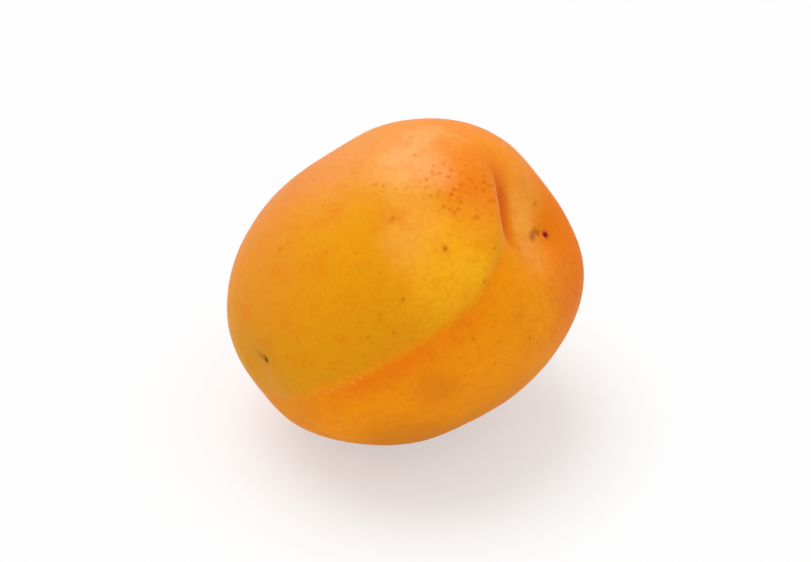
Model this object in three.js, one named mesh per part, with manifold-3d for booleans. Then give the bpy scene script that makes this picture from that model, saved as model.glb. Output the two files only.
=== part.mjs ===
// One ripe apricot, as picked, lying on its lower cheek.
//
// Millimetres, +Z up. The origin is on the table, under the middle of the fruit, inside the small flat
// spot that the fruit rests on.
//
// The skin is a ball of points pushed out from the middle of the fruit. How far a point goes depends only
// on its direction: an ellipsoid with full corners, soft swells and hollows, a stem cavity, the edge where
// the upper half of the fruit overhangs the lower half, the suture line and the dimple at the apex.
//
// The fruit's own frame, before it is laid down: x runs towards the stem end, y goes away from the suture
// and z comes out of the upper cheek. Every direction below is given in that frame.

import * as THREE from 'three';
import { mergeVertices } from 'three/addons/utils/BufferGeometryUtils.js';
import Module from 'manifold-3d';

const { clamp, degToRad, lerp, radToDeg, smoothstep } = THREE.MathUtils;

// Body
const HALF_LENGTH = 24.5;
const HALF_DEPTH = 23.2;
const HALF_BREADTH = 20.6;
const MEAN_RADIUS = 24;
const FULLER_LENGTH_BREADTH = 0.24;
const FULLER_LENGTH_DEPTH = 0.1;
const FULLER_DEPTH_BREADTH = 0.05;

// Soft swells (height above 0) and hollows (below 0). width is the angle at which one has mostly faded.
const SWELLS = [
  { at: [0.9, -0.09, -0.42], width: 18, height: 0.9 }, // below the stem end
  { at: [0.98, 0.12, 0.14], width: 11, height: -0.3 }, // behind the stem cavity
  { at: [-0.98, 0, 0.19], width: 18, height: 0.8 }, // the blunt apex end
  { at: [-0.95, -0.17, -0.27], width: 12, height: 0.4 }, // below the apex
  { at: [-0.68, -0.3, -0.67], width: 15, height: -0.9 }, // flank below the apex
  { at: [0.17, -0.33, -0.93], width: 14, height: 0.3 }, // lower cheek, near the suture
  { at: [-0.64, 0.23, 0.73], width: 20, height: -0.45 }, // upper cheek, towards the apex
  { at: [0.34, 0.35, 0.87], width: 12, height: 0.4 }, // upper cheek, towards the stem
  { at: [-0.18, 0.22, -0.96], width: 24, height: 1.1 }, // the part that carries the weight
  { at: [0.35, 0.05, -0.94], width: 20, height: 0.6 }, // lower cheek, towards the stem
  { at: [-0.71, 0.29, -0.65], width: 20, height: -0.8 }, // lower cheek, towards the apex
];

// Stem cavity: a funnel that opens wider towards the suture than towards the back
const SCAR_AT = [0.961, -0.265, -0.09];
const CAVITY_OPENS_TO = [0.62, -0.74, 0.2];
const CAVITY_DEPTH = 1.5;
const CAVITY_RADIUS = 25;
const CAVITY_LEAN = 0.36;
const THROAT_DEPTH = 0.9;
const THROAT_SHARE = 0.42;

// Longitude runs round the z axis: 0 at the middle of the suture, 90 at the stem end, -90 at the apex end.
// A pair of numbers is a span over which something fades in or out: of longitude, or of millimetres across.
const SEAM_BASE = -0.015;
const SEAM_RISE = 0.0008;

// Edge of the upper half: it follows the suture, then climbs beside the stem cavity. The skin drops below
// it, softly along the suture and sharply beside the cavity, where a fold makes the crease.
const EDGE_CLIMBS_FROM = 24;
const EDGE_CLIMB = 0.0115;
const EDGE_BEND = 4;
const EDGE_DIP = 0.05;
const EDGE_DIP_AT = 41;
const EDGE_DIP_SPAN = 5;
const EDGE_DROP = 2.9;
const EDGE_ROLL = 2.4;
const EDGE_ROLL_AT_TOP = 3;
const EDGE_TOP = [48, 66];
const EDGE_FOOT = 0.7;
const EDGE_SHARPNESS = 2.6;
const EDGE_SHARP = [42, 50];
const HOLLOW_AT = [0.86, -0.5, 0.1];
const HOLLOW_RADIUS = 21;
const FOLD_SHARE = 0.3;
const FOLD_WALL = [-0.8, 0.5];
const FOLD_FLOOR = [0.8, 4.5];
const FOLD_STARTS = [43, 48];
const FOLD_ENDS = [50, 62];

// Suture line: it leaves that edge and runs down into the cavity
const SEAM_HUMP = 0.145;
const SEAM_HUMP_AT = 43;
const SEAM_HUMP_SPAN = 16;
const SEAM_DIP = 0.12;
const SEAM_DIPS = [45, 70];
const SEAM_STARTS = [-88, -62];
const SEAM_ENDS = [64, 72];
const APEX_SIDE = [-60, -25];
const CAVITY_SIDE = [8, 40];
const CAVITY_RIM = [40, 50];
const GROOVE_DEPTH = 0.25;
const GROOVE_WIDTH = 0.9;
const GROOVE_LOSS_NEAR_APEX = 0.6;
const GROOVE_LOSS_IN_CAVITY = 0.75;
const VALLEY_DEPTH = 0.25;
const VALLEY_DEPTH_NEAR_APEX = 0.2;
const VALLEY_WIDTH = 4;
const VALLEY_ENDS = [20, 40];
const LIFT = 0.2;
const LIFT_NEAR_CAVITY = 0.2;
const LIFT_STEP = 1.6;
const LIFT_WIDTH = 6;

// Apex dimple
const APEX_AT = [-0.896, -0.407, 0.173];
const APEX_DEPTH = 0.45;
const APEX_RADIUS = 7;

// How the fruit lies: turned about x, then y, then z. The table cuts off the lowest 0.6 mm or so, which
// is the flat spot.
const LIE_X = -17.2;
const LIE_Y = -26.5;
const LIE_Z = 15;
const MIDDLE_HEIGHT = 22;

// Mesh
const CELLS_PER_SIDE = 24;
const TABLE_SIZE = 120;
const TABLE_DEPTH = 40;

const unit = (xyz) => new THREE.Vector3(...xyz).normalize();
const scar = unit(SCAR_AT);
const apex = unit(APEX_AT);
const hollow = unit(HOLLOW_AT);
const swells = SWELLS.map(({ at, width, height }) => ({
  centre: unit(at),
  spread: 1 - Math.cos(degToRad(width)),
  height,
}));
const opening = unit(CAVITY_OPENS_TO).projectOnPlane(scar).normalize();
const bell = (x) => Math.exp(-x * x);
const degreesBetween = (a, b) => radToDeg(a.angleTo(b));
const rises = (x, [low, high]) => smoothstep(x, low, high);
const falls = (x, span) => 1 - rises(x, span);

function bodyRadius(d) {
  const [xx, yy, zz] = [d.x * d.x, d.y * d.y, d.z * d.z];
  const ellipsoid = 1 / Math.sqrt(xx / HALF_LENGTH ** 2 + yy / HALF_DEPTH ** 2 + zz / HALF_BREADTH ** 2);
  const corners = FULLER_LENGTH_BREADTH * xx * zz + FULLER_LENGTH_DEPTH * xx * yy;
  return ellipsoid * (1 + corners + FULLER_DEPTH_BREADTH * yy * zz);
}

function swelling(d) {
  let sum = 0;
  for (const { centre, spread, height } of swells) {
    sum += height * Math.exp((d.dot(centre) - 1) / spread);
  }
  return sum;
}

function cavityDepth(d) {
  const sideways = d.clone().projectOnPlane(scar);
  const lean = sideways.dot(opening) / Math.sqrt(sideways.lengthSq() + 1e-4);
  const share = degreesBetween(d, scar) / (CAVITY_RADIUS * (1 + CAVITY_LEAN * lean));
  return CAVITY_DEPTH * falls(share, [0, 1]) + THROAT_DEPTH * falls(share, [0, THROAT_SHARE]);
}

function edgeDrop(d, longitude) {
  const bend = (longitude - EDGE_CLIMBS_FROM) / EDGE_BEND;
  const climb = EDGE_CLIMB * EDGE_BEND * Math.log1p(Math.exp(bend));
  const dip = EDGE_DIP * bell((longitude - EDGE_DIP_AT) / EDGE_DIP_SPAN);
  const height = SEAM_BASE + SEAM_RISE * longitude + climb - dip;
  const slope = radToDeg(SEAM_RISE + EDGE_CLIMB / (1 + Math.exp(-bend)));
  const across = (MEAN_RADIUS * (d.z - height)) / Math.hypot(1, slope);
  const roll = EDGE_ROLL + EDGE_ROLL_AT_TOP * rises(longitude, EDGE_TOP);
  const share = clamp((roll - across) / (roll + EDGE_FOOT), 0, 1);
  const below = lerp(rises(share, [0, 1]), share ** EDGE_SHARPNESS, rises(longitude, EDGE_SHARP));
  const beside = rises(longitude, FOLD_STARTS) * falls(longitude, FOLD_ENDS);
  const fold = beside * falls(across, FOLD_WALL) * falls(-across, FOLD_FLOOR);
  return EDGE_DROP * bell(degreesBetween(d, hollow) / HOLLOW_RADIUS) * (below + FOLD_SHARE * fold);
}

function sutureRelief(d, longitude) {
  const hump = SEAM_HUMP * bell((longitude - SEAM_HUMP_AT) / SEAM_HUMP_SPAN);
  const height = SEAM_BASE + SEAM_RISE * longitude + hump - SEAM_DIP * rises(longitude, SEAM_DIPS);
  const across = MEAN_RADIUS * (d.z - height);
  const nearApex = falls(longitude, APEX_SIDE);
  const inCavity = rises(longitude, CAVITY_RIM);
  const grooveShare = (1 - GROOVE_LOSS_NEAR_APEX * nearApex) * (1 - GROOVE_LOSS_IN_CAVITY * inCavity);
  const groove = GROOVE_DEPTH * grooveShare * bell(across / GROOVE_WIDTH);
  const valleyDepth = (VALLEY_DEPTH + VALLEY_DEPTH_NEAR_APEX * nearApex) * falls(longitude, VALLEY_ENDS);
  const liftHeight = LIFT + LIFT_NEAR_CAVITY * rises(longitude, CAVITY_SIDE) * (1 - inCavity);
  const lift = liftHeight * rises(across, [-LIFT_STEP, LIFT_STEP]) * bell(Math.max(across, 0) / LIFT_WIDTH);
  const present = rises(longitude, SEAM_STARTS) * falls(longitude, SEAM_ENDS);
  return present * (lift - groove - valleyDepth * bell(across / VALLEY_WIDTH));
}

function skinRadius(d) {
  const longitude = radToDeg(Math.atan2(d.x, -d.y));
  const dimple = APEX_DEPTH * bell(degreesBetween(d, apex) / APEX_RADIUS);
  const raised = bodyRadius(d) + swelling(d) + sutureRelief(d, longitude);
  return raised - cavityDepth(d) - edgeDrop(d, longitude) - dimple;
}

// A cube of even cells, blown up into a ball whose cells are nearly equal, then pushed out to the skin.
function fruitGeometry() {
  const box = new THREE.BoxGeometry(2, 2, 2, CELLS_PER_SIDE, CELLS_PER_SIDE, CELLS_PER_SIDE);
  box.deleteAttribute('normal');
  box.deleteAttribute('uv');
  const geometry = mergeVertices(box);
  const position = geometry.getAttribute('position');
  const even = (t) => Math.tan((t * Math.PI) / 4);
  const direction = new THREE.Vector3();
  for (let i = 0; i < position.count; i++) {
    direction.fromBufferAttribute(position, i);
    direction.set(even(direction.x), even(direction.y), even(direction.z)).normalize();
    const point = direction.clone().multiplyScalar(skinRadius(direction));
    position.setXYZ(i, point.x, point.y, point.z);
  }
  return geometry;
}

function layDown(geometry) {
  const lie = new THREE.Euler(degToRad(LIE_X), degToRad(LIE_Y), degToRad(LIE_Z), 'ZYX');
  geometry.applyMatrix4(new THREE.Matrix4().makeRotationFromEuler(lie));
  geometry.translate(0, 0, MIDDLE_HEIGHT);
  return geometry;
}

const wasm = await Module();
wasm.setup();

function solidOf(geometry) {
  const mesh = new wasm.Mesh({
    numProp: 3,
    vertProperties: new Float32Array(geometry.getAttribute('position').array),
    triVerts: new Uint32Array(geometry.getIndex().array),
  });
  return new wasm.Manifold(mesh);
}

function geometryOf(solid) {
  const { vertProperties, triVerts } = solid.getMesh();
  const geometry = new THREE.BufferGeometry();
  geometry.setAttribute('position', new THREE.BufferAttribute(vertProperties, 3));
  geometry.setIndex(new THREE.BufferAttribute(triVerts, 1));
  geometry.computeVertexNormals();
  return geometry;
}

function tableGeometry() {
  const table = new THREE.BoxGeometry(TABLE_SIZE, TABLE_SIZE, TABLE_DEPTH);
  table.deleteAttribute('normal');
  table.deleteAttribute('uv');
  table.translate(0, 0, -TABLE_DEPTH / 2);
  return mergeVertices(table);
}

const whole = solidOf(layDown(fruitGeometry()));
const rested = whole.subtract(solidOf(tableGeometry()));

const skin = new THREE.MeshStandardMaterial({ color: '#ee9126', roughness: 0.55, metalness: 0 });
const apricot = new THREE.Mesh(geometryOf(rested), skin);
apricot.name = 'apricot';

const fruit = new THREE.Group();
fruit.add(apricot);

export default fruit;
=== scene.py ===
# %% [markdown]
# # One ripe apricot, lying on its cheek
#
# This file builds the looks of an apricot around a imported CAD model. It is written as a lesson: each step is
# told first and made afterwards, and each code cell prints what it made or measured.
#
# The CAD model comes in as a fixed frame, in metres, with +Z up and the origin on the table under the
# fruit. Its box is kept at once; the camera is aimed at it and sized by it.

# %% Frame
import math

import bpy
from mathutils import Euler, Matrix, Vector
from mathutils.bvhtree import BVHTree


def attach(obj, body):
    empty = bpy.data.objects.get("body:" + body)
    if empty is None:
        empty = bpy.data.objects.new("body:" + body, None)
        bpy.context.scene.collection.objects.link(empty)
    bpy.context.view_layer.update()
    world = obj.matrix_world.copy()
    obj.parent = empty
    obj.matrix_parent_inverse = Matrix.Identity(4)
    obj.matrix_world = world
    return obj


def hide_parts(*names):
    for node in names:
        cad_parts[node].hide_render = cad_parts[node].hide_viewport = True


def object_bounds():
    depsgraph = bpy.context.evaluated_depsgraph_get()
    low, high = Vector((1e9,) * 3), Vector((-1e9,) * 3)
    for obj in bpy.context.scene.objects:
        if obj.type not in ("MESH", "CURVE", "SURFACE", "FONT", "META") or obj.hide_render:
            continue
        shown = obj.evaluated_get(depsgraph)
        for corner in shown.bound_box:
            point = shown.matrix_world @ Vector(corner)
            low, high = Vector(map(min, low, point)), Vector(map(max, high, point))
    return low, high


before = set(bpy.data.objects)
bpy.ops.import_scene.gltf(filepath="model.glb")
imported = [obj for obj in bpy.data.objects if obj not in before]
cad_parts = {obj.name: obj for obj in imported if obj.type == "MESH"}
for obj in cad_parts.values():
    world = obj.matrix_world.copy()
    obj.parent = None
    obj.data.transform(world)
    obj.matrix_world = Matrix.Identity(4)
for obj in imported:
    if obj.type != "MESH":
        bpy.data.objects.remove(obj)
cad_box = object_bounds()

MM = 0.001
scene = bpy.context.scene
cad_size = cad_box[1] - cad_box[0]
print("CAD box, mm:", [round(side / MM, 2) for side in cad_size])

# %% [markdown]
# ## Camera
#
# A fruit on a table is usually seen by someone who stands over it. The camera looks down on it at 35 degrees
# through a long lens, which keeps the fruit's proportions as a far eye sees them. It aims at the middle of
# the CAD box, so the fruit stays in the frame if its size ever changes.

# %% Camera
CAMERA_ELEVATION = math.radians(35)
LENS = 100
SENSOR = 36
FRUIT_SHARE_OF_WIDTH = 0.44
NEAREST_SEEN = 0.01
FARTHEST_SEEN = 10

camera_data = bpy.data.cameras.new("camera")
camera_data.lens = LENS
camera_data.sensor_width = SENSOR
camera_data.clip_start = NEAREST_SEEN
camera_data.clip_end = FARTHEST_SEEN
camera = bpy.data.objects.new("camera", camera_data)
scene.collection.objects.link(camera)
scene.camera = camera

aim = (cad_box[0] + cad_box[1]) / 2
towards_eye = Vector((0, -math.cos(CAMERA_ELEVATION), math.sin(CAMERA_ELEVATION)))
eye_distance = cad_size.x / FRUIT_SHARE_OF_WIDTH * LENS / SENSOR
camera.location = aim + towards_eye * eye_distance
camera.rotation_euler = towards_eye.to_track_quat("Z", "Y").to_euler()
print("camera", round(eye_distance, 3), "m from the fruit")

# %% [markdown]
# ## Sums on sockets
#
# A shape or a colour that follows a rule is a long sum, and a sum is far easier to read as Python than as a
# web of nodes. The class below wraps one output socket. When two wires are added or multiplied it adds the
# Math node that does it, or the Vector Math node if one of them is a vector. It works in geometry trees and
# in material trees alike, because both have the same maths nodes.


# %% Wires
def socket_named(sockets, key):
    """The socket with that number, or the first one in use that has that name."""
    if isinstance(key, int):
        return sockets[key]
    return next(s for s in sockets if s.name == key and s.enabled)


def node(tree, kind, settings, values):
    """Adds a node: its settings, then its sockets' values or links. Returns its first output in use."""
    made = tree.nodes.new(kind)
    for name, value in settings.items():
        setattr(made, name, value)
    for key, value in values.items():
        socket = socket_named(made.inputs, key)
        if isinstance(value, Wire):
            tree.links.new(value.socket, socket)
        else:
            socket.default_value = value
    return Wire(tree, next((s for s in made.outputs if s.enabled), None))


class Wire:
    """One output socket. A sum on wires adds its node to their tree."""

    def __init__(self, tree, socket):
        self.tree = tree
        self.socket = socket

    def other(self, name):
        """Another output of the same node."""
        return Wire(self.tree, socket_named(self.socket.node.outputs, name))

    def sum(self, operation, *values):
        kind = "ShaderNodeMath"
        if any(isinstance(v, Wire) and v.socket.type == "VECTOR" for v in values):
            kind = "ShaderNodeVectorMath"
            values = [v if isinstance(v, (Wire, tuple)) else (v, v, v) for v in values]
        return node(self.tree, kind, {"operation": operation}, dict(enumerate(values)))

    def __add__(self, other):
        return self.sum("ADD", self, other)

    def __radd__(self, other):
        return self.sum("ADD", other, self)

    def __sub__(self, other):
        return self.sum("SUBTRACT", self, other)

    def __rsub__(self, other):
        return self.sum("SUBTRACT", other, self)

    def __mul__(self, other):
        return self.sum("MULTIPLY", self, other)

    def __rmul__(self, other):
        return self.sum("MULTIPLY", other, self)

    def __truediv__(self, other):
        return self.sum("DIVIDE", self, other)

    def __rtruediv__(self, other):
        return self.sum("DIVIDE", other, self)

    def __neg__(self):
        return self.sum("MULTIPLY", self, -1)

    def __pow__(self, power):
        return self.sum("POWER", self, power)

    def maths(self, operation, *others):
        """Any other operation on this wire, such as SQRT or DOT_PRODUCT."""
        return self.sum(operation, self, *others)

    def bell(self):
        """1 at 0, falling away evenly on both sides."""
        return (-(self * self)).maths("EXPONENT")

    def smooth(self, low, high):
        """0 below low, 1 above high, and an S curve between them."""
        values = {"Value": self, "From Min": low, "From Max": high}
        return node(self.tree, "ShaderNodeMapRange", {"interpolation_type": "SMOOTHSTEP"}, values)

    def parts(self):
        """The x, y and z of a vector."""
        x = node(self.tree, "ShaderNodeSeparateXYZ", {}, {0: self})
        return x, x.other("Y"), x.other("Z")


print("wires ready")

# %% [markdown]
# ## The form of the fruit
#
# An apricot has one deep stem cavity, a shallow suture line that runs from it to the small dry scar at the
# apex, and two halves that rarely match. It could be sculpted by hand, but its form follows a rule well: how
# far the skin is from the middle depends only on the direction. An ellipsoid with full corners gives the
# body. Swells, the cavity, the overhanging edge of the upper half, the suture and the apex dimple are added
# to it. The rule and its sizes are those of the CAD model, so that the skin fits its box.
#
# The fruit has its own frame: x runs towards the stem end, y goes away from the suture and z comes out of
# the upper cheek. Longitude runs round z, with 0 at the middle of the suture and 90 at the stem end. A pair
# of numbers is a span over which something fades in or out, in degrees or in millimetres.

# %% Sizes of the fruit, in millimetres and degrees
DEGREES = math.degrees(1)
MEAN_RADIUS = 24
SWELLS = [
    # where a swell or a hollow is, the angle at which it has mostly faded, and its height
    ((0.9, -0.09, -0.42), 18, 0.9),  # below the stem end
    ((0.98, 0.12, 0.14), 11, -0.3),  # behind the stem cavity
    ((-0.98, 0, 0.19), 18, 0.8),  # the blunt apex end
    ((-0.95, -0.17, -0.27), 12, 0.4),  # below the apex
    ((-0.68, -0.3, -0.67), 15, -0.9),  # flank below the apex
    ((0.17, -0.33, -0.93), 14, 0.3),  # lower cheek, near the suture
    ((-0.64, 0.23, 0.73), 20, -0.45),  # upper cheek, towards the apex
    ((0.34, 0.35, 0.87), 12, 0.4),  # upper cheek, towards the stem
    ((-0.18, 0.22, -0.96), 24, 1.1),  # the part that carries the weight
    ((0.35, 0.05, -0.94), 20, 0.6),  # lower cheek, towards the stem
    ((-0.71, 0.29, -0.65), 20, -0.8),  # lower cheek, towards the apex
]
SCAR_AT = Vector((0.961, -0.265, -0.09)).normalized()
CAVITY_OPENS_TO = Vector((0.62, -0.74, 0.2))
CAVITY_OPENING = (CAVITY_OPENS_TO - CAVITY_OPENS_TO.dot(SCAR_AT) * SCAR_AT).normalized()
HOLLOW_AT = Vector((0.86, -0.5, 0.1)).normalized()
APEX_AT = Vector((-0.896, -0.407, 0.173)).normalized()
APEX_RADIUS = 7

# How the fruit lies: turned about x, then y, then z, with its middle this far above the table
LIE = tuple(math.radians(turn) for turn in (-17.2, -26.5, 15))
MIDDLE = (0, 0, 22)
print("scar to apex, degrees:", round(math.degrees(SCAR_AT.angle(APEX_AT))))


# %% Rules for the body
FULLER_LENGTH_BREADTH = 0.24
FULLER_LENGTH_DEPTH = 0.1
FULLER_DEPTH_BREADTH = 0.05


def longitude_of(d):
    x, y, _ = d.parts()
    return x.maths("ARCTAN2", -y) * DEGREES


def angle_from(d, centre):
    """How many degrees a direction lies from a centre."""
    half_chord = (d - tuple(centre)).maths("LENGTH") / 2
    return half_chord.maths("ARCSINE") * (2 * DEGREES)


def body_radius(d, length, depth, breadth):
    """An ellipsoid whose corners are fuller, so that it is a little boxy, as an apricot is."""
    xx, yy, zz = (d * d).parts()
    squares = xx / (length * length) + yy / (depth * depth) + zz / (breadth * breadth)
    ellipsoid = 1 / squares.maths("SQRT")
    fullness = 1 + FULLER_LENGTH_BREADTH * (xx * zz) + FULLER_LENGTH_DEPTH * (xx * yy)
    return ellipsoid * (fullness + FULLER_DEPTH_BREADTH * (yy * zz))


def swelling(d):
    """The height of all swells and hollows together."""
    total = 0
    for at, width, height in SWELLS:
        spread = 1 - math.cos(math.radians(width))
        nearness = (d.maths("DOT_PRODUCT", tuple(Vector(at).normalized())) - 1) / spread
        total = height * nearness.maths("EXPONENT") + total
    return total


print("body rule: an ellipsoid with", len(SWELLS), "swells and hollows")

# %% [markdown]
# The stem sat in a funnel with a narrower throat, and the funnel opens wider towards the suture. Beside it
# the upper half of the fruit overhangs the lower half. Below that edge the skin drops away, softly along the
# suture and sharply beside the cavity, where a fold makes the crease. A Boolean could cut such a hollow, but
# a rule that only lowers the skin keeps its cells even and leaves no cut line.

# %% Rule for the stem cavity
CAVITY_LEAN = 0.36
THROAT_DEPTH = 0.9
THROAT_SHARE = 0.42
NEVER_ZERO = 1e-4


def cavity_depth(d, deep, wide):
    """How far the funnel and its throat lower the skin."""
    along = d.maths("DOT_PRODUCT", tuple(SCAR_AT))
    sideways_squared = 1 - along * along
    lean = d.maths("DOT_PRODUCT", tuple(CAVITY_OPENING)) / (sideways_squared + NEVER_ZERO).maths("SQRT")
    share = angle_from(d, SCAR_AT) / (wide * (1 + CAVITY_LEAN * lean))
    return deep * (1 - share.smooth(0, 1)) + THROAT_DEPTH * (1 - share.smooth(0, THROAT_SHARE))


print("stem cavity rule ready")


# %% Rule for the edge that overhangs the cavity
SEAM_BASE = -0.015
SEAM_RISE = 0.0008
EDGE_CLIMBS_FROM = 24
EDGE_CLIMB = 0.0115
EDGE_BEND = 4
EDGE_DIP = 0.05
EDGE_DIP_AT = 41
EDGE_DIP_SPAN = 5
EDGE_ROLL = 2.4
EDGE_ROLL_AT_TOP = 3
EDGE_TOP = (48, 66)
EDGE_FOOT = 0.7
EDGE_SHARPNESS = 2.6
EDGE_SHARP = (42, 50)
HOLLOW_RADIUS = 21
FOLD_SHARE = 0.3
FOLD_WALL = (-0.8, 0.5)
FOLD_FLOOR = (0.8, 4.5)
FOLD_STARTS = (43, 48)
FOLD_ENDS = (50, 62)


def edge_across(d, longitude):
    """How far above the overhanging edge a point lies, in millimetres. The edge climbs beside the cavity."""
    _, _, z = d.parts()
    bend = ((longitude - EDGE_CLIMBS_FROM) / EDGE_BEND).maths("EXPONENT")
    climb = EDGE_CLIMB * EDGE_BEND * (1 + bend).maths("LOGARITHM", math.e)
    dip = EDGE_DIP * ((longitude - EDGE_DIP_AT) / EDGE_DIP_SPAN).bell()
    height = SEAM_RISE * longitude + SEAM_BASE + climb - dip
    slope = DEGREES * (SEAM_RISE + EDGE_CLIMB * (bend / (1 + bend)))
    return MEAN_RADIUS * (z - height) / (1 + slope * slope).maths("SQRT")


def edge_drop(d, longitude, deep):
    """How far the edge and its fold lower the skin."""
    across = edge_across(d, longitude)
    roll = EDGE_ROLL + EDGE_ROLL_AT_TOP * longitude.smooth(*EDGE_TOP)
    share = ((roll - across) / (roll + EDGE_FOOT)).maths("MAXIMUM", 0).maths("MINIMUM", 1)
    soft = share.smooth(0, 1)
    below = soft + longitude.smooth(*EDGE_SHARP) * (share**EDGE_SHARPNESS - soft)
    hollow = (angle_from(d, HOLLOW_AT) / HOLLOW_RADIUS).bell()
    fold = (1 - across.smooth(*FOLD_WALL)) * (1 - (-across).smooth(*FOLD_FLOOR))
    fold = fold * longitude.smooth(*FOLD_STARTS) * (1 - longitude.smooth(*FOLD_ENDS))
    return deep * hollow * (below + FOLD_SHARE * fold)


print("the edge climbs beside the cavity from longitude", EDGE_CLIMBS_FROM)

# %% [markdown]
# The suture is where the two edges of the fruit's one folded leaf grew together. It is a fine groove in a
# shallow valley, and the upper half stands a little proud of it. It leaves the overhanging edge and runs
# down into the cavity, so its line has a hump there and then dips.

# %% Rule for the suture line
SEAM_HUMP = 0.145
SEAM_HUMP_AT = 43
SEAM_HUMP_SPAN = 16
SEAM_DIP = 0.12
SEAM_DIPS = (45, 70)
SEAM_STARTS = (-88, -62)
SEAM_ENDS = (64, 72)
APEX_SIDE = (-60, -25)
CAVITY_SIDE = (8, 40)
CAVITY_RIM = (40, 50)
GROOVE_WIDTH = 0.9
GROOVE_LOSS_NEAR_APEX = 0.6
GROOVE_LOSS_IN_CAVITY = 0.75
VALLEY_DEPTH = 0.25
VALLEY_DEPTH_NEAR_APEX = 0.2
VALLEY_WIDTH = 4
VALLEY_ENDS = (20, 40)
LIFT = 0.2
LIFT_NEAR_CAVITY = 0.2
LIFT_STEP = 1.6
LIFT_WIDTH = 6


def seam_across(d, longitude):
    """How far above the suture line a point lies, in millimetres."""
    _, _, z = d.parts()
    hump = SEAM_HUMP * ((longitude - SEAM_HUMP_AT) / SEAM_HUMP_SPAN).bell()
    height = SEAM_RISE * longitude + SEAM_BASE + hump - SEAM_DIP * longitude.smooth(*SEAM_DIPS)
    return MEAN_RADIUS * (z - height)


def suture_relief(across, longitude, deep):
    """How far the suture raises or lowers the skin."""
    near_apex = 1 - longitude.smooth(*APEX_SIDE)
    near_cavity = longitude.smooth(*CAVITY_SIDE)
    in_cavity = longitude.smooth(*CAVITY_RIM)
    present = longitude.smooth(*SEAM_STARTS) * (1 - longitude.smooth(*SEAM_ENDS))
    groove = deep * (1 - GROOVE_LOSS_NEAR_APEX * near_apex)
    groove = groove * (1 - GROOVE_LOSS_IN_CAVITY * in_cavity) * (across / GROOVE_WIDTH).bell()
    valley = (VALLEY_DEPTH + VALLEY_DEPTH_NEAR_APEX * near_apex) * (1 - longitude.smooth(*VALLEY_ENDS))
    valley = valley * (across / VALLEY_WIDTH).bell()
    rise = across.smooth(-LIFT_STEP, LIFT_STEP) * (across.maths("MAXIMUM", 0) / LIFT_WIDTH).bell()
    lift = (LIFT + LIFT_NEAR_CAVITY * near_cavity * (1 - in_cavity)) * rise
    return present * (lift - groove - valley)


print("the suture runs from longitude", SEAM_STARTS[0], "to", SEAM_ENDS[1])

# %% [markdown]
# ## The skin as one mesh
#
# The rule is put into a Geometry Nodes tree. A cube with even cells is blown up into a ball, which has no
# poles to pinch, and each point is pushed out to the skin. The tangent spreads the cells evenly: without it
# those near the cube's corners would come out much smaller.

# %% Tools for Geometry Nodes trees
def new_tree(name, sizes):
    """An empty Geometry Nodes tree with named number and vector inputs, and a material input."""
    tree = bpy.data.node_groups.new(name, "GeometryNodeTree")
    tree.interface.new_socket("Geometry", in_out="INPUT", socket_type="NodeSocketGeometry")
    for size_name, value in sizes.items():
        kind = {int: "NodeSocketInt", float: "NodeSocketFloat", tuple: "NodeSocketVector"}[type(value)]
        tree.interface.new_socket(size_name, in_out="INPUT", socket_type=kind)
    tree.interface.new_socket("Material", in_out="INPUT", socket_type="NodeSocketMaterial")
    tree.interface.new_socket("Geometry", in_out="OUTPUT", socket_type="NodeSocketGeometry")
    return tree, node(tree, "NodeGroupInput", {}, {})


def close_tree(tree, shape, inputs):
    """Ends a tree: instances made real, smooth, and in its material."""
    real = node(tree, "GeometryNodeRealizeInstances", {}, {"Geometry": shape})
    smooth = node(tree, "GeometryNodeSetShadeSmooth", {}, {"Geometry": real})
    finish = {"Geometry": smooth, "Material": inputs.other("Material")}
    painted = node(tree, "GeometryNodeSetMaterial", {}, finish)
    node(tree, "NodeGroupOutput", {}, {"Geometry": painted})


def turned(tree, vector, rotation):
    """A vector turned about x, then y, then z."""
    values = {"Vector": vector, "Rotation": rotation}
    return node(tree, "ShaderNodeVectorRotate", {"rotation_type": "EULER_XYZ"}, values)


print("tree tools ready")

# %% Tree of the skin
SKIN_SIZES = {
    "Half length": 24.5,
    "Half depth": 23.2,
    "Half breadth": 20.6,
    "Cavity depth": 1.5,
    "Cavity radius": 25.0,
    "Edge drop": 2.9,
    "Suture groove": 0.25,
    "Apex dimple": 0.45,
    "Waviness": 0.07,
    "Cells": 127,
}
HALF_A_FACE = math.radians(45)

skin_tree, skin_size = new_tree("fruit skin", SKIN_SIZES)
points_per_side = skin_size.other("Cells") + 1
cube_values = {"Size": (2, 2, 2)}
for side in "XYZ":
    cube_values["Vertices " + side] = points_per_side
cube = node(skin_tree, "GeometryNodeMeshCube", {}, cube_values)
cell = node(skin_tree, "GeometryNodeInputPosition", {}, {}) * HALF_A_FACE
direction = cell.maths("TANGENT").maths("NORMALIZE")
lon = longitude_of(direction)
half_sizes = [skin_size.other("Half " + side) for side in ("length", "depth", "breadth")]
radius = body_radius(direction, *half_sizes) + swelling(direction)
radius = radius + suture_relief(seam_across(direction, lon), lon, skin_size.other("Suture groove"))
funnel = cavity_depth(direction, skin_size.other("Cavity depth"), skin_size.other("Cavity radius"))
radius = radius - funnel - edge_drop(direction, lon, skin_size.other("Edge drop"))
radius = radius - skin_size.other("Apex dimple") * (angle_from(direction, APEX_AT) / APEX_RADIUS).bell()
print("rule wired into", len(skin_tree.nodes), "nodes")

# %% [markdown]
# A form worked out by a rule looks machine-made where it is too even, so two slow noises wave the skin by up
# to about a tenth of a millimetre. The fruit is then laid on its cheek, and what would sink into the table
# is pressed flat with a soft rim, as a ripe cheek is by the fruit's weight.

# %% Wave the skin a little, lay the fruit down and press its flat spot
LONG_WAVES = 0.16
LONG_WAVE_HEIGHT = 2
SHORT_WAVES = 0.55
PRESS_ROUNDING = 0.35


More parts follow.
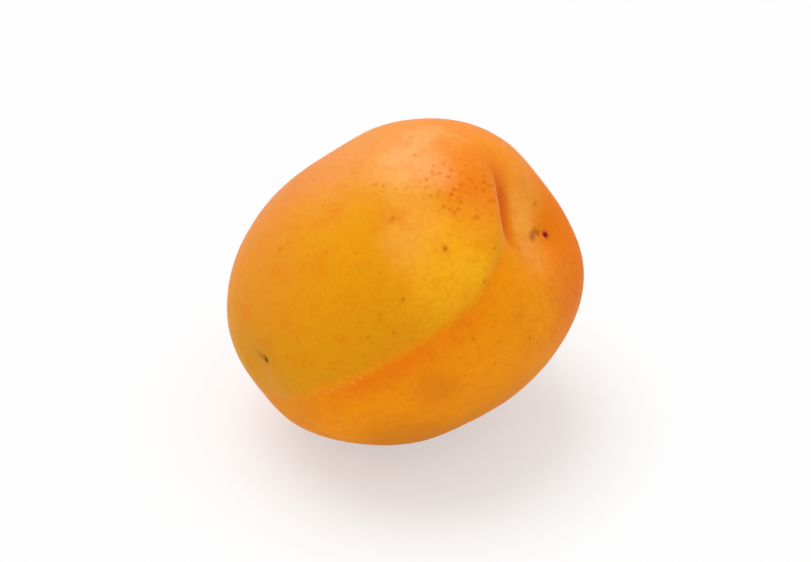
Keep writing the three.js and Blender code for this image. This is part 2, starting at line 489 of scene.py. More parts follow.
def noise_at(point, scale, detail):
    """A soft noise between 0 and 1. scale is in features per unit of the point."""
    values = {"Vector": point, "Scale": scale, "Detail": detail}
    return node(point.tree, "ShaderNodeTexNoise", {}, values)


on_ball = direction * MEAN_RADIUS
long_waves = noise_at(on_ball, LONG_WAVES, detail=1) - 0.5
short_waves = noise_at(on_ball, SHORT_WAVES, detail=1) - 0.5
radius = radius + skin_size.other("Waviness") * (LONG_WAVE_HEIGHT * long_waves + short_waves)
laid = turned(skin_tree, direction * radius, LIE) + MIDDLE
x, y, z = laid.parts()
pressed = (z + (z * z + PRESS_ROUNDING**2).maths("SQRT")) / 2
placed = node(skin_tree, "ShaderNodeCombineXYZ", {}, {"X": x, "Y": y, "Z": pressed}) * MM
skin_form = node(skin_tree, "GeometryNodeSetPosition", {}, {"Geometry": cube, "Position": placed})
close_tree(skin_tree, skin_form, skin_size)
print("skin tree has", len(skin_tree.nodes), "nodes")

# %% [markdown]
# A tree only shows its result while a modifier runs it. The helper below runs it once on an empty seed
# object and keeps the evaluated mesh, so the finished piece is plain and has no modifier. The skin is then
# measured against the CAD surface, because the two must agree.

# %% Make the skin
CHECKED_EVERY = 97


def new_material(name):
    """A material with an empty node tree, and that tree."""
    material = bpy.data.materials.new(name)
    material.use_nodes = True
    material.node_tree.nodes.clear()
    return material, material.node_tree


def grow(name, tree, sizes, material):
    """Runs a tree once and keeps its result as a plain mesh object."""
    seed = bpy.data.objects.new(name + " seed", bpy.data.meshes.new(name))
    scene.collection.objects.link(seed)
    modifier = seed.modifiers.new("grow", "NODES")
    modifier.node_group = tree
    settings = dict(sizes, Material=material)
    for item in tree.interface.items_tree:
        if item.in_out == "INPUT" and item.name in settings:
            modifier[item.identifier] = settings[item.name]
    evaluated = seed.evaluated_get(bpy.context.evaluated_depsgraph_get())
    mesh = bpy.data.meshes.new_from_object(evaluated)
    bpy.data.objects.remove(seed)
    mesh.name = name
    piece = bpy.data.objects.new(name, mesh)
    scene.collection.objects.link(piece)
    return piece


skin_material, paint = new_material("apricot skin")
skin = grow("apricot_skin", skin_tree, SKIN_SIZES, skin_material)
print(skin.name, len(skin.data.vertices), "points,", len(skin.data.polygons), "faces")
cad_surface = BVHTree.FromObject(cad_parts["apricot"], bpy.context.evaluated_depsgraph_get())
checked = list(skin.data.vertices)[::CHECKED_EVERY]
gaps = [cad_surface.find_nearest(point.co)[3] / MM for point in checked]
print("skin to CAD surface, mm: mean", round(sum(gaps) / len(gaps), 3), "largest", round(max(gaps), 3))

# %% [markdown]
# ## The colour of the skin
#
# Apricot skin is yellow where leaves shaded it and orange where the sun reached it, and the colours melt
# into each other over a centimetre or so. An image could carry them, but it would need a flat map of a round
# fruit. Here the paint is a stack of soft round patches, each mixed over those below it. A patch is placed
# by a direction in the fruit's own frame, which the material finds by undoing the lie of the fruit. A slow
# noise bends the directions, so that no patch ends in a perfect circle.

# %% Coordinates for the paint
def shade(code):
    """A colour written as six hexadecimal digits (sRGB), as the linear numbers that a shader uses."""
    parts = [int(code[i : i + 2], 16) / 255 for i in (0, 2, 4)]
    linear = [p / 12.92 if p <= 0.04045 else ((p + 0.055) / 1.055) ** 2.4 for p in parts]
    return (*linear, 1)


def finish_surface(tree, shader):
    node(tree, "ShaderNodeOutputMaterial", {}, {"Surface": shader})


def mix_colours(factor, first, second):
    settings = {"data_type": "RGBA"}
    return node(factor.tree, "ShaderNodeMix", settings, {"Factor": factor, "A": first, "B": second})


def fruit_point(tree):
    """Where a shaded point lies in the fruit's own frame, in millimetres."""
    lie = {
        "Vector": node(tree, "ShaderNodeTexCoord", {}, {}).other("Object"),
        "Location": tuple(c * MM for c in MIDDLE),
        "Rotation": LIE,
        "Scale": (MM, MM, MM),
    }
    return node(tree, "ShaderNodeMapping", {"vector_type": "TEXTURE"}, lie)


WARP_SCALE = 0.12
WARP_REACH = 5
point = fruit_point(paint)
warp_values = {"Vector": point, "Scale": WARP_SCALE, "Detail": 2}
warp = node(paint, "ShaderNodeTexNoise", {}, warp_values).other("Color")
d = (point + (warp - 0.5) * WARP_REACH).maths("NORMALIZE")
straight = point.maths("NORMALIZE")
lon = longitude_of(straight)
across = seam_across(straight, lon)
print("paint directions bend by up to", WARP_REACH / 2, "mm")

# %% [markdown]
# The two halves start from their own grounds, a warm orange below the suture and a yellow above it. The
# patches then bring the sun's side, the pale brow beside the cavity, whose peach is partly a painted
# highlight, and the deep orange at the stem end.

# %% Broad patches of colour
LOWER_CHEEK = (-0.9, -0.3)
UPPER_HALF_EDGE = (-0.6, 2.4)
UPPER_HALF_ENDS = (38, 48)
YELLOW_AT = (0.36, -0.91, 0.2)
YELLOW_SPAN = (4, 29)
YELLOW_STRENGTH = 0.9
PATCHES = [
    # where the patch is, where it starts and has faded, how strong it is, and its colour
    ((0.2, 0.3, -0.93), 15, 50, 1, "ec8c0e"),  # underside
    ((-0.45, -0.72, -0.58), 4, 22, 0.7, "dc860c"),  # lower cheek, towards the apex
    ((0.7, 0.5, 0.5), 20, 55, 1, "f28c38"),  # behind the stem end
    ((0.05, 0.1, 0.99), 12, 48, 1, "ea9648"),  # top of the upper cheek
    ((-0.65, -0.25, 0.7), 10, 42, 0.7, "e08c24"),  # upper cheek, towards the apex
    ((-0.4, 0.2, 0.9), 6, 40, 0.9, "e2883e"),  # top, towards the apex
    ((-0.2, 0.95, 0.3), 10, 62, 0.85, "dc6a2c"),  # the back
    ((0.4, -0.45, 0.78), 4, 20, 0.7, "fcb264"),  # pale side of the brow, partly a painted highlight
    ((0.55, -0.28, 0.8), 5, 22, 0.8, "fcaa66"),  # pale top of the brow, partly a painted highlight
    ((0.28, -0.81, 0.52), 4, 18, 0.6, "faaa44"),  # pale front of the brow
    ((0.7, -0.48, 0.53), 6, 24, 0.9, "f2861a"),  # brow, at the crease
    ((0.62, -0.6, 0.48), 3, 13, 0.5, "ec7a08"),  # brow, under the crowd of dots
    ((0.5, -0.77, 0.41), 3, 13, 0.5, "f28c10"),  # below the brow
    ((0.94, 0.05, -0.35), 14, 50, 0.9, "f07808"),  # below the stem end
    ((0.78, -0.45, -0.43), 3, 18, 0.5, "ea7204"),  # lower half, below the cavity
    ((0.93, -0.37, 0.05), 4, 15, 0.8, "fe9a10"),  # floor of the cavity
    ((-0.92, -0.35, 0.1), 10, 34, 0.8, "dc9408"),  # round the apex
    ((-0.08, -0.95, -0.31), 2, 13, 0.45, "dc7410"),  # below the middle of the suture
    ((-0.85, -0.49, 0.2), 2, 9, 0.35, "c48a10"),  # beside the apex scar
    ((-0.89, -0.45, 0.01), 2, 9, 0.2, "e0a050"),  # below the apex scar
    ((0.94, -0.24, 0.22), 3, 14, 0.5, "fca040"),  # above the stem scar
    ((0.5, -0.51, 0.7), 3, 12, 0.35, "fcb274"),  # middle of the brow, partly a painted highlight
    ((0.78, -0.33, 0.53), 3, 11, 0.45, "ee8218"),  # top of the crease, partly a painted shade of the valley there
]
PATCHES_OVER_YELLOW = [
    ((0.6, -0.72, 0.36), 3, 13, 0.55, "f3901e"),  # foot of the brow
]


def patch(d, at, inner, outer):
    """1 within inner degrees of a direction, 0 beyond outer degrees."""
    return 1 - angle_from(d, Vector(at).normalized()).smooth(inner, outer)


def lay_patches(colour, patches):
    """Mixes each patch over the colour below it."""
    for at, inner, outer, strength, code in patches:
        colour = mix_colours(patch(d, at, inner, outer) * strength, colour, shade(code))
    return colour


upper_half = across.smooth(*UPPER_HALF_EDGE) * (1 - lon.smooth(*UPPER_HALF_ENDS))
_, dy, dz = d.parts()
colour = mix_colours(dz.smooth(*LOWER_CHEEK), shade("ea9008"), shade("fc9802"))
colour = mix_colours(upper_half, colour, shade("e89a03"))
colour = lay_patches(colour, PATCHES)
yellow = patch(d, YELLOW_AT, *YELLOW_SPAN) * YELLOW_STRENGTH * upper_half
colour = mix_colours(yellow, colour, shade("ffb416"))
colour = lay_patches(colour, PATCHES_OVER_YELLOW)
print(len(PATCHES) + 1 + len(PATCHES_OVER_YELLOW), "patches of colour")

# %% [markdown]
# The suture is marked by colour more than by depth. Below it runs a warmer, uneven band, and where the band
# reaches the stem cavity the skin dips into a crease. Light caught in the crease comes out redder, so the
# crease gets a painted red-orange shade, and the edge that turns out of it gets a pale painted highlight.

# %% Band below the suture
BAND_TOP = (-1.3, 0.7)
BAND_FOOT = (0.5, 4.5)
BAND_ENDS = (10, 40)
BAND_COMES_IN = (-45, -20)
BAND_AT_APEX_END = 0.35
BAND_WEAKENS = (-12, 5)
BAND_LOSS = 0.4
BAND_EVEN_PART = 0.6
BAND_UNEVEN_PART = 0.8
BAND_CLOUDS = 0.35

below_seam = -across
band = below_seam.smooth(*BAND_TOP) * (1 - below_seam.smooth(*BAND_FOOT)) * (1 - lon.smooth(*BAND_ENDS))
band = band * (BAND_AT_APEX_END + (1 - BAND_AT_APEX_END) * lon.smooth(*BAND_COMES_IN))
band = band * (1 - BAND_LOSS * lon.smooth(*BAND_WEAKENS))
band = band * (BAND_EVEN_PART + BAND_UNEVEN_PART * noise_at(point, BAND_CLOUDS, detail=2))
colour = mix_colours(band, colour, shade("fa8204"))
print("the band ends at longitude", BAND_ENDS[1])

# %% Crease beside the cavity, with its painted shade and painted highlight
CREASE_TOP = (0.2, 0.8)
CREASE_FOOT = (1.3, 4.6)
CREASE_STARTS = (43, 49)
CREASE_ENDS = (58, 72)
CREASE_SHADE_STRENGTH = 0.9
RIM_HEIGHT = 0.3
RIM_WIDTH = 0.7
RIM_STARTS = (42, 47)
RIM_ENDS = (50, 60)
RIM_HIGHLIGHT_STRENGTH = 0.35
CAVITY_PATCHES = [
    ((0.88, -0.44, 0.15), 3, 13, 0.6, "ffa83c"),  # floor, close to the crease
    ((0.77, -0.62, 0.1), 1, 6, 0.5, "f69408"),  # foot of the crease
    ((0.82, -0.57, -0.02), 2, 12, 0.4, "fba244"),  # pale skin that turns out of the cavity
]

edge = edge_across(straight, lon)
into_crease = -edge
crease_shade = into_crease.smooth(*CREASE_TOP) * (1 - into_crease.smooth(*CREASE_FOOT))
crease_shade = crease_shade * (lon.smooth(*CREASE_STARTS) * (1 - lon.smooth(*CREASE_ENDS)))
colour = lay_patches(colour, CAVITY_PATCHES)
# painted shade: the crease is painted a darker red-orange, for the light caught in it
colour = mix_colours(CREASE_SHADE_STRENGTH * crease_shade, colour, shade("da5a02"))
# painted highlight: a pale line along the rounded edge above the crease, where it catches the light
rim = ((edge - RIM_HEIGHT) / RIM_WIDTH).bell() * lon.smooth(*RIM_STARTS) * (1 - lon.smooth(*RIM_ENDS))
colour = mix_colours(RIM_HIGHLIGHT_STRENGTH * rim, colour, shade("f58e3c"))
print("the crease runs from longitude", CREASE_STARTS[0], "to", CREASE_ENDS[1])

# %% [markdown]
# Close up, the skin is never one colour. Cloudy mottling in three sizes lies over the yellow. The back had
# the sun, so it gets a deeper blush and pale clouds of its own. Each layer is one noise, kept only where it
# is high, and a wide span keeps its clouds soft.

# %% Mottling
MOTTLING = [
    # clouds per millimetre, detail, where the noise comes in, how strong, and its colour
    (0.22, 3, (0.5, 0.75), 0.4, "e67c06"),
    (0.7, 2, (0.48, 0.72), 0.22, "ea7e06"),
    (1.8, 2, (0.45, 0.75), 0.25, "dc8c04"),
]
BACK_MOTTLING = [
    # shift of the noise, clouds per millimetre, where it comes in, how strong, and its colour
    (0, 0.4, (0.42, 0.68), 0.25, "d45616"),  # the sun's blush
    (50, 0.6, (0.42, 0.7), 0.16, "fca844"),  # pale clouds
]
BACK_STARTS = (-0.05, 0.5)

for per_mm, detail, span, strength, code in MOTTLING:
    clouds = noise_at(point, per_mm, detail)
    colour = mix_colours(strength * clouds.smooth(*span), colour, shade(code))
back_share = dy.smooth(*BACK_STARTS)
for shift, per_mm, span, strength, code in BACK_MOTTLING:
    clouds = noise_at(point + shift, per_mm, detail=3)
    colour = mix_colours(strength * back_share * clouds.smooth(*span), colour, shade(code))
print(len(MOTTLING), "sizes of mottling all over, and", len(BACK_MOTTLING), "more at the back")

# %% [markdown]
# The pores of the skin show as brown freckles. The large ones are few, and each has a soft orange halo, so
# they are listed one by one. Random ones could not be kept off the scars or be given their sizes.
# Overlapping soft spots also make the brown stain beside each scar. All outlines are roughened by one fine
# noise, because a perfect circle looks printed.

# %% Large freckles and stains
FRECKLES = [
    # longitude, latitude, width in mm, how dark
    (15, 41, 0.55, 0.7),
    (23, 22, 0.7, 0.9),
    (27, 25, 0.4, 0.4),
    (1, 16, 0.65, 0.6),
    (-7, 8, 0.6, 0.5),
    (-8, 15, 0.45, 0.4),
    (74, 58, 0.5, 0.5),
    (53, 53, 0.5, 0.5),
    (22, 57, 0.6, 0.6),
    (24, 54, 0.5, 0.5),
    (-46, 48, 0.6, 0.55),
    (-42, 50, 0.4, 0.4),
    (77, 6, 0.7, 0.7),
    (39, 23, 0.5, 0.5),
    (33, -22, 0.55, 0.6),
    (38, -18, 0.45, 0.45),
    (14, -8, 0.5, 0.5),
    (17, -22, 0.5, 0.4),
    (-18, 62, 0.5, 0.4),
    (60, 30, 0.5, 0.5),
    (36, 12, 0.45, 0.5),
    (49, 4, 0.7, 0.5),
    (98, 38, 0.6, 0.6),
    (107, -22, 0.5, 0.5),
    (111, 6, 0.7, 0.7),
    (122, 27, 0.5, 0.5),
    (138, -8, 0.6, 0.6),
    (141, 62, 0.6, 0.6),
    (159, 41, 0.7, 0.7),
    (163, -41, 0.6, 0.5),
    (176, 9, 0.5, 0.6),
    (-164, 31, 0.7, 0.8),
    (-152, -12, 0.6, 0.6),
    (-139, 47, 0.5, 0.5),
    (-133, -36, 0.6, 0.6),
    (-121, 18, 0.7, 0.7),
    (-108, 61, 0.6, 0.6),
    (-101, -14, 0.5, 0.5),
    (-86, 33, 0.6, 0.6),
]
STAINS = [
    # longitude, latitude, reach in degrees, how dark
    (62, 0.6, 2.6, 0.6),
    (64, 0.2, 3, 0.85),
    (66.2, -0.4, 3, 0.85),
    (68.5, -0.8, 2.6, 0.7),
    (70.8, -1, 2.8, 0.8),
    (72.5, -3, 3, 0.7),
    (-58.5, 12.4, 2.4, 0.6),
    (-60.5, 13.1, 2, 0.5),
    (-62.5, 13.7, 1.6, 0.35),
]
RAGGED_SCALE = 2.5
RAGGED_MM = 0.35
RAGGED_STAIN = 0.04
STAIN_CORE = 0.3
HALO_SPAN = (0.3, 1.8)
CORE_SPAN = (0.1, 0.7)


def direction_at(longitude, latitude):
    """The unit direction at a longitude and a latitude, in degrees."""
    lon_angle = math.radians(longitude)
    lat_angle = math.radians(latitude)
    ring = math.cos(lat_angle)
    return Vector((ring * math.sin(lon_angle), -ring * math.cos(lon_angle), math.sin(lat_angle)))


ragged_values = {"Vector": point, "Scale": RAGGED_SCALE, "Detail": 1}
ragged = node(paint, "ShaderNodeTexNoise", {}, ragged_values).other("Color") - 0.5
rough_point = point + ragged * RAGGED_MM
on_ball = rough_point.maths("NORMALIZE") * MEAN_RADIUS
halos = 0
cores = 0
for longitude, latitude, width, dark in FRECKLES:
    centre = tuple(direction_at(longitude, latitude) * MEAN_RADIUS)
    away = on_ball.maths("DISTANCE", centre) / width
    halos = (dark * (1 - away.smooth(*HALO_SPAN))).maths("MAXIMUM", halos)
    cores = (dark * (1 - away.smooth(*CORE_SPAN))).maths("MAXIMUM", cores)
stain = 0
for longitude, latitude, reach, dark in STAINS:
    lobe = patch(straight + ragged * RAGGED_STAIN, direction_at(longitude, latitude), STAIN_CORE, reach)
    stain = (dark * lobe).maths("MAXIMUM", stain)
print(len(FRECKLES), "large freckles and", len(STAINS), "spots of stain")

# %% [markdown]
# Besides, there are stray small freckles, and a crowd of dots on the brow beside the stem cavity. These are
# too many to place by hand, so they come from Voronoi cells: one dot near the middle of each cell, and a
# random number drawn for each cell keeps most of them faint.

# %% Small freckles and dots
STRAY_CELL = 2.7
DOT_CELL = 0.85
CROWD_AT_STEM_END = 0.3
CROWD_AT_BACK = 0.5
CROWD_ELSEWHERE = 0.2


def cell_dots(cell_size, core, rim, faintest, full):
    """One dot in each Voronoi cell. core and rim are shares of the cell, faintest and full are draws."""
    values = {"Vector": rough_point, "Scale": 1 / cell_size}
    cells = node(paint, "ShaderNodeTexVoronoi", {}, values)
    draw, _, _ = cells.other("Color").parts()
    return (1 - cells.smooth(core, rim)) * draw.smooth(faintest, full)


stray = cell_dots(STRAY_CELL, core=0.03, rim=0.12, faintest=0.35, full=0.9)
dots = cell_dots(DOT_CELL, core=0.1, rim=0.58, faintest=0, full=0.6)
on_brow = patch(d, at=(0.6, -0.6, 0.53), inner=5, outer=17)
at_stem_end = patch(d, at=(0.8, -0.42, -0.42), inner=5, outer=30)
at_back = patch(d, at=(0.25, 0.9, 0.35), inner=10, outer=45)
crowd = on_brow + CROWD_AT_STEM_END * at_stem_end + CROWD_AT_BACK * at_back + CROWD_ELSEWHERE
crowd = crowd.maths("MINIMUM", 1)
print("one dot in each cell of", DOT_CELL, "mm, one stray freckle in each of", STRAY_CELL, "mm")

# %% Lay the freckles over the colour
SPOTS = [
    # what is laid, how strong, and its colour
    (dots * crowd, 0.85, "d86206"),
    (stray, 0.6, "c25c04"),
    (halos, 0.35, "e07a08"),
    (cores, 1, "c26204"),
    (stain, 1, "a84602"),
]
for share, strength, code in SPOTS:
    colour = mix_colours(strength * share, colour, shade(code))
print("the paint has", len(paint.nodes), "nodes so far")

# %% [markdown]
# ## The velvet
#
# The skin is covered in hairs too short to see one by one. They scatter light, so the fruit has no clear
# highlight and its outline looks slightly dusty. Hair curves would need far too many strands. A high
# roughness, a weak highlight and a pinkish sheen say the same with three constants, and a fine bump breaks
# up what highlight is left. A little light also passes through the skin into the flesh.

# %% Finished skin
FINE_FUZZ = 0.7
SOFT_FUZZ = 0.5
fuzz = FINE_FUZZ * noise_at(point, scale=3.2, detail=2) + SOFT_FUZZ * noise_at(point, scale=0.9, detail=1)
bumped = node(paint, "ShaderNodeBump", {}, {"Strength": 0.25, "Distance": 0.15 * MM, "Height": fuzz})
velvet = {
    "Base Color": colour,
    "Roughness": 0.6,
    "Specular IOR Level": 0.075,
    "Subsurface Weight": 0.1,
    "Subsurface Scale": 3 * MM,
    "Subsurface Radius": (1, 0.35, 0.1),
    "Sheen Weight": 0.15,
    "Sheen Roughness": 0.25,
    "Sheen Tint": shade("ffdcc8"),
    "Normal": bumped,
}
finish_surface(paint, node(paint, "ShaderNodeBsdfPrincipled", {}, velvet))
print("the paint has", len(paint.nodes), "nodes")

# %% [markdown]
# ## Scars
#
# Where the stem broke off, a torn disc of dry cork stays in the cavity, with a dark hole where the sap used
# to run. The apex keeps a small brown spot, all that is left of the flower. Each could be painted on, but
# cork stands a little proud and is dull, so each is a closed lens: an icosphere pressed flat, with an
# outline torn by noise, and dropped onto the skin so that it follows the skin's curve. The skin closes
# behind it, so a lens a fifth of a millimetre high is enough. At the stem scar the lens dips only a little
# at the hole, so the hole's darkness is partly painted shade.

# %% Places on the skin
STEM_SCAR_AT = (74.3, -5.6)
STEM_HOLE_AT = (75.5, -6)
STEM_SCAR_RUNS = (0.3, 0.9, -0.1)
APEX_SCAR_AT = (-58.2, 12.3)
APEX_HOLE_AT = (-57.6, 12.1)
APEX_SCAR_RUNS = (0.43, -0.88, -0.26)
LAID = Euler(LIE).to_matrix()


def on_skin(longitude, latitude):
    """The point of the skin at a longitude and a latitude, in metres, and the skin's normal there."""
    outwards = LAID @ direction_at(longitude, latitude)
    place, normal, _, _ = skin_surface.ray_cast(Vector(MIDDLE) * MM, outwards)
    return place, normal


def lie_on_skin(longitude, latitude, long_way):
    """A place on the skin, and the turn that lays x along long_way there and z along the normal."""
    place, normal = on_skin(longitude, latitude)
    side = normal.cross(LAID @ Vector(long_way)).normalized()
    axes = Matrix((side.cross(normal), side, normal)).transposed()
    return tuple(place), tuple(axes.to_euler())


skin_surface = BVHTree.FromObject(skin, bpy.context.evaluated_depsgraph_get())
stem_place, stem_turn = lie_on_skin(*STEM_SCAR_AT, STEM_SCAR_RUNS)
stem_hole, _ = on_skin(*STEM_HOLE_AT)
apex_place, apex_turn = lie_on_skin(*APEX_SCAR_AT, APEX_SCAR_RUNS)
apex_hole, _ = on_skin(*APEX_HOLE_AT)
print("stem scar, mm:", [round(c / MM, 1) for c in stem_place])
print("apex scar, mm:", [round(c / MM, 1) for c in apex_place])

# %% [markdown]
# Both scars come from one tree with their sizes as inputs. A ray is cast down at the skin from above each
# point of the flattened ball, and the point moves to where the ray hits. The upper side then rises along
# the skin's normal, highest near the rim and lowest at the hole, and the under side sinks just below it.

# %% Tree of a scar
SCAR_SIZES = {
    "At": (0.0, 0.0, 0.0),
    "Turn": (0.0, 0.0, 0.0),
    "Half length": 1.3,
    "Half width": 0.8,
    "Height": 0.2,
    "Torn": 0.35,
    "Hole at": (0.0, 0.0, 0.0),
    "Hole width": 0.9,
}
RAY_START = 4
TEARS = 1.6
CORK_LEVEL = 0.6
CORK_RIM = 0.5
CORK_RIM_AT = 0.7
CORK_RIM_WIDTH = 0.25
CORK_GRAIN = 6
CORK_SMOOTH_PART = 0.7
CORK_ROUGH_PART = 0.6
HOLE_STEEPNESS = 1.4
SUNK = 0.2


def hit_skin(tree, start, way, reach):
    """A ray cast at the finished skin. Its outputs say where it hit, and the skin's normal there."""
    target = node(tree, "GeometryNodeObjectInfo", {}, {"Object": skin}).other("Geometry")
    ray = {"Target Geometry": target, "Source Position": start, "Ray Direction": way}
    ray["Ray Length"] = reach * MM
    return node(tree, "GeometryNodeRaycast", {}, ray)


scar_tree, scar_size = new_tree("scar", SCAR_SIZES)
scar_at = scar_size.other("At")
scar_turn = scar_size.other("Turn")
ball = node(scar_tree, "GeometryNodeMeshIcoSphere", {}, {"Radius": 1, "Subdivisions": 6})
x, y, z = node(scar_tree, "GeometryNodeInputPosition", {}, {}).parts()
flat = node(scar_tree, "ShaderNodeCombineXYZ", {}, {"X": x, "Y": y})
tears = noise_at(flat + scar_at * (1 / MM), TEARS, detail=2) - 0.5
torn = 1 + scar_size.other("Torn") * 2 * tears
long_part = x * torn * scar_size.other("Half length") * MM
wide_part = y * torn * scar_size.other("Half width") * MM
above_values = {"X": long_part, "Y": wide_part, "Z": RAY_START * MM}
above_skin = node(scar_tree, "ShaderNodeCombineXYZ", {}, above_values)
start = scar_at + turned(scar_tree, above_skin, scar_turn)
down = turned(scar_tree, (0, 0, -1), scar_turn)
hit = hit_skin(scar_tree, start, down, 2 * RAY_START)
cork_rim = CORK_LEVEL + CORK_RIM * ((flat.maths("LENGTH") - CORK_RIM_AT) / CORK_RIM_WIDTH).bell()
grain = CORK_SMOOTH_PART + CORK_ROUGH_PART * noise_at(flat, CORK_GRAIN, detail=2)
to_hole = hit.other("Hit Position").maths("DISTANCE", scar_size.other("Hole at")) / MM
hole = (to_hole / scar_size.other("Hole width") * HOLE_STEEPNESS).bell()
top = z.maths("MAXIMUM", 0) * (cork_rim * grain * (1 - hole)) * scar_size.other("Height")
lift = (top + SUNK * z.maths("MINIMUM", 0)) * MM
placed = hit.other("Hit Position") + hit.other("Hit Normal") * lift
scar_form = node(scar_tree, "GeometryNodeSetPosition", {}, {"Geometry": ball, "Position": placed})
close_tree(scar_tree, scar_form, scar_size)
print("scar tree has", len(scar_tree.nodes), "nodes")


# %% Make both scars
HOLE_SPAN = (0.2, 0.7)
CORK_SPAN = (0.6, 1.3)


def dry_shader(tree, colour):
    values = {"Base Color": colour, "Roughness": 0.8, "Specular IOR Level": 0.03}
    return node(tree, "ShaderNodeBsdfPrincipled", {}, values)


def scar_material(name, place, hole_width, hole_shade, cork_shade, edge_shade):
    """Dry cork: dark at the place of its hole, and near the skin's own colour at its edge."""
    material, tree = new_material(name)
    seen_at = node(tree, "ShaderNodeTexCoord", {}, {}).other("Object")
    away = seen_at.maths("DISTANCE", tuple(place)) / (MM * hole_width)
    cork = mix_colours(away.smooth(*CORK_SPAN), shade(cork_shade), shade(edge_shade))
    dry = mix_colours(away.smooth(*HOLE_SPAN), shade(hole_shade), cork)
    finish_surface(tree, dry_shader(tree, dry))
    return material


# the width of the hole in millimetres, then the shades of the hole, of the cork and of its edge; the stem's
# dark hole is partly painted shade, since its lens dips only a little there
stem_cork = scar_material("stem scar cork", stem_hole, 0.85, "7c2004", "dc6428", "f08a22")
apex_cork = scar_material("apex scar cork", apex_hole, 0.7, "7a4a06", "a8700c", "cc8a0e")
stem_sizes = dict(SCAR_SIZES, At=stem_place, Turn=stem_turn)
stem_sizes["Hole at"] = tuple(stem_hole)
stem_scar = grow("stem_scar", scar_tree, stem_sizes, stem_cork)
apex_sizes = dict(SCAR_SIZES, At=apex_place, Turn=apex_turn)
apex_sizes.update({"Half length": 0.65, "Half width": 0.6, "Height": 0.1, "Hole at": tuple(apex_hole)})
apex_scar = grow("apex_scar", scar_tree, apex_sizes, apex_cork)
for piece in (stem_scar, apex_scar):
    print(piece.name, "is", [round(side / MM, 2) for side in piece.dimensions], "mm")

# %% [markdown]
# Small light flecks of cork sit across the suture line, where the skin stretched and healed while the fruit
# grew. They are one shape repeated along a curve, so they are instances: points run along the suture, a
# ray from the middle of the fruit finds the skin at each one, and a small lens is turned to lie on it.

# %% Flecks along the suture
FLECK_SIZES = {
    "Count": 5,
    "First longitude": -38.5,
    "Step": 3.4,
    "Half length": 0.42,
    "Half width": 0.26,
}
FLECK_THICKNESS = 0.08
STEP_JITTER = 0.45
HEIGHT_JITTER = (-0.008, 0.028)
SIZE_JITTER = (0.45, 1.1)


def draw_number(low, high, seed):
    values = {"Min": low, "Max": high, "Seed": seed}
    return node(fleck_tree, "FunctionNodeRandomValue", {"data_type": "FLOAT"}, values)


fleck_tree, fleck_size = new_tree("suture flecks", FLECK_SIZES)
spots = node(fleck_tree, "GeometryNodePoints", {}, {"Count": fleck_size.other("Count")})
index = node(fleck_tree, "GeometryNodeInputIndex", {}, {})
steps = index + draw_number(-STEP_JITTER, STEP_JITTER, seed=1)
turn = fleck_size.other("First longitude") + steps * fleck_size.other("Step")
height = SEAM_RISE * turn + SEAM_BASE + draw_number(*HEIGHT_JITTER, seed=2)
angle = turn / DEGREES
ring = (1 - height * height).maths("SQRT")
along = {"X": ring * angle.maths("SINE"), "Y": -ring * angle.maths("COSINE"), "Z": height}
outwards = turned(fleck_tree, node(fleck_tree, "ShaderNodeCombineXYZ", {}, along), LIE)
middle = node(fleck_tree, "FunctionNodeInputVector", {"vector": tuple(c * MM for c in MIDDLE)}, {})
hit = hit_skin(fleck_tree, middle, outwards, 2 * MEAN_RADIUS)
spot_values = {"Geometry": spots, "Position": hit.other("Hit Position")}
spots = node(fleck_tree, "GeometryNodeSetPosition", {}, spot_values)
print("flecks start at longitude", FLECK_SIZES["First longitude"])

# %% Turn the flecks across the suture and make them
to_normal = {"Vector": hit.other("Hit Normal")}
flat_turn = node(fleck_tree, "FunctionNodeAlignRotationToVector", {"axis": "Z"}, to_normal)
to_side = {"Rotation": flat_turn, "Vector": tuple(LAID @ Vector((0, 0, 1)))}
about_normal = {"axis": "X", "pivot_axis": "Z"}
full_turn = node(fleck_tree, "FunctionNodeAlignRotationToVector", about_normal, to_side)
lens_size = {"X": fleck_size.other("Half length"), "Y": fleck_size.other("Half width")}
lens_size["Z"] = FLECK_THICKNESS
lens_scale = node(fleck_tree, "ShaderNodeCombineXYZ", {}, lens_size) * MM
ball = node(fleck_tree, "GeometryNodeMeshIcoSphere", {}, {"Radius": 1, "Subdivisions": 4})
lens = node(fleck_tree, "GeometryNodeTransform", {}, {"Geometry": ball, "Scale": lens_scale})
placing = {"Points": spots, "Instance": lens, "Rotation": full_turn}
placing["Scale"] = draw_number(*SIZE_JITTER, seed=3)
flecks_form = node(fleck_tree, "GeometryNodeInstanceOnPoints", {}, placing)
close_tree(fleck_tree, flecks_form, fleck_size)

fleck_material, fleck_paint = new_material("pale cork")
finish_surface(fleck_paint, dry_shader(fleck_paint, shade("fa9a2c")))
flecks = grow("suture_flecks", fleck_tree, FLECK_SIZES, fleck_material)
print(flecks.name, "has", len(flecks.data.polygons), "faces")

# %% [markdown]
# ## Table, backdrop and light
#
# A fruit is easiest to judge on a white table. A table that is only white would go grey under the fruit, so
# the camera sees it partly as paper that glows. Its shadow stays pale, and it fades out a few centimetres
# from the fruit, where the glow takes over.

# %% Table
TABLE_REACH = 3
TABLE_WHITE = 0.85
TABLE_SEEN_WHITE = 0.88
PAPER_GLOW = 0.99
SHADOW_FADES = (20, 46)
GLOW_UNDER_FRUIT = 0.5


def grey(level):
    return (level, level, level, 1)


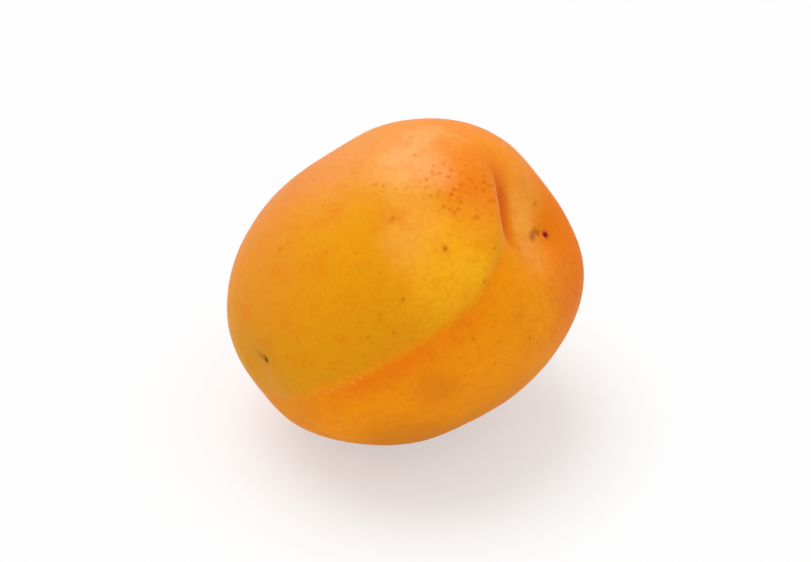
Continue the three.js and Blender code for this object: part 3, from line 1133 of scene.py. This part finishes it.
table_mesh = bpy.data.meshes.new("table")
quarters = ((-1, -1), (1, -1), (1, 1), (-1, 1))
corners = [(side * TABLE_REACH, depth * TABLE_REACH, 0) for side, depth in quarters]
table_mesh.from_pydata(corners, [], [(0, 1, 2, 3)])
table = bpy.data.objects.new("table", table_mesh)
scene.collection.objects.link(table)
table_material, table_paint = new_material("white table")
seen = node(table_paint, "ShaderNodeLightPath", {}, {}).other("Is Camera Ray")
table_colour = mix_colours(seen, grey(TABLE_WHITE), grey(TABLE_SEEN_WHITE))
matt = node(table_paint, "ShaderNodeBsdfDiffuse", {}, {"Color": table_colour})
glow = node(table_paint, "ShaderNodeEmission", {}, {"Color": grey(PAPER_GLOW)})
away = node(table_paint, "ShaderNodeTexCoord", {}, {}).other("Object").maths("LENGTH") / MM
glow_share = GLOW_UNDER_FRUIT + (1 - GLOW_UNDER_FRUIT) * away.smooth(*SHADOW_FADES)
lit = node(table_paint, "ShaderNodeMixShader", {}, {0: seen * glow_share, 1: matt, 2: glow})
finish_surface(table_paint, lit)
table.data.materials.append(table_material)
print("table", 2 * TABLE_REACH, "m wide, shadow gone", SHADOW_FADES[1], "mm from the middle")

# %% [markdown]
# Soft light from all round shows a colour about as it is written, and one wide lamp gives the fruit its
# rounding. The lamp is nearly overhead, a little to the left and behind the fruit, so that the brow is
# brightest and the near side of the lower half turns away from it. The camera and glossy surfaces see a
# white backdrop whatever the light's strength is.

# %% Backdrop and lamp
LIGHT_FROM_ALL_ROUND = 0.75
LAMP_STRENGTH = 1.3
LAMP_WIDTH = math.radians(45)
LAMP_FROM = Vector((-0.3, 0.28, 1))

world = bpy.data.worlds.new("studio")
scene.world = world
world.use_nodes = True
sky = world.node_tree
sky.nodes.clear()
path = node(sky, "ShaderNodeLightPath", {}, {})
seen = path.other("Is Camera Ray").maths("MAXIMUM", path.other("Is Glossy Ray"))
seen = seen.maths("MAXIMUM", path.other("Is Transmission Ray"))
strength = LIGHT_FROM_ALL_ROUND + seen * (1 - LIGHT_FROM_ALL_ROUND)
background = node(sky, "ShaderNodeBackground", {}, {"Color": grey(1), "Strength": strength})
node(sky, "ShaderNodeOutputWorld", {}, {"Surface": background})

lamp_data = bpy.data.lights.new("lamp", "SUN")
lamp_data.energy = LAMP_STRENGTH
lamp_data.angle = LAMP_WIDTH
lamp = bpy.data.objects.new("lamp", lamp_data)
scene.collection.objects.link(lamp)
lamp.rotation_euler = LAMP_FROM.to_track_quat("Z", "Y").to_euler()
scene.view_settings.view_transform = "Standard"
print("backdrop", LIGHT_FROM_ALL_ROUND, "and lamp", LAMP_STRENGTH)

# %% [markdown]
# ## Hand over
#
# The fruit moves as one body, so all pieces ride on its root. The skin takes the place of the CAD piece,
# which is hidden. The scars and flecks are only seen, never felt. The finished box should be the CAD box to
# within a few tenths of a millimetre.

# %% Hand over
for piece in (skin, stem_scar, apex_scar, flecks):
    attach(piece, "root")
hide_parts("apricot")
